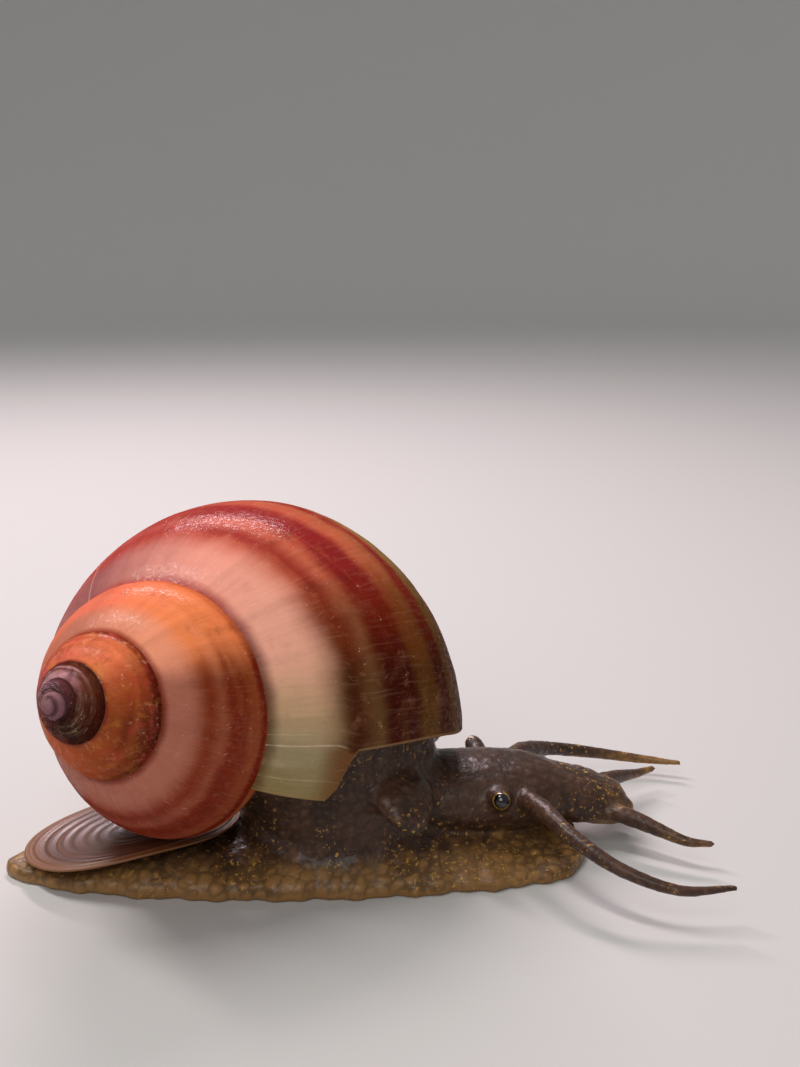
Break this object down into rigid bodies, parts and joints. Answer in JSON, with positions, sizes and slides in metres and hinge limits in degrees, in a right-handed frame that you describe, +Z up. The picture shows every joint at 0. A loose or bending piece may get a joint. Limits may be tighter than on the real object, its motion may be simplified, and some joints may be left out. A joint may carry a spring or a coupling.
{
  "type": "apple snail",
  "caption": "Life-size crawling apple snail: banded right-coiled shell over a broad flat foot, head with long feelers and mouth palps, rolled siphon, and the operculum on the tail.",
  "frame": {"origin": "centre of the whole animal's footprint box, on the floor under the sole", "axes": "+X is the way the snail faces, +Y its left side, +Z up"},
  "size_m": [0.0757, 0.0368, 0.0367],
  "materials": {
    "shell": "semi-gloss horny shell, banded maroon, mauve and orange brown",
    "flesh": "moist skin, dark above, golden brown at the sole, mottled",
    "operculum": "satin horn with growth rings round one edge",
    "eyes": "glossy black"
  },
  "bodies": {
    "root": {"shell_body_whorl": "shell", "shell_penultimate_whorl": "shell", "shell_third_whorl": "shell", "shell_apex": "shell", "mantle": "flesh", "body_column": "flesh", "foot_tail": "flesh", "foot_middle": "flesh", "foot_front": "flesh", "head": "flesh", "snout": "flesh", "palp_left": "flesh", "palp_right": "flesh", "tentacle_left_base": "flesh", "tentacle_left_middle": "flesh", "tentacle_left_tip": "flesh", "tentacle_right_base": "flesh", "tentacle_right_middle": "flesh", "tentacle_right_tip": "flesh", "eye_stalk_left": "flesh", "eye_stalk_right": "flesh", "siphon": "flesh", "nuchal_lobe": "flesh", "operculum": "operculum", "eye_left": "eyes", "eye_right": "eyes"}
  },
  "joints": []
}
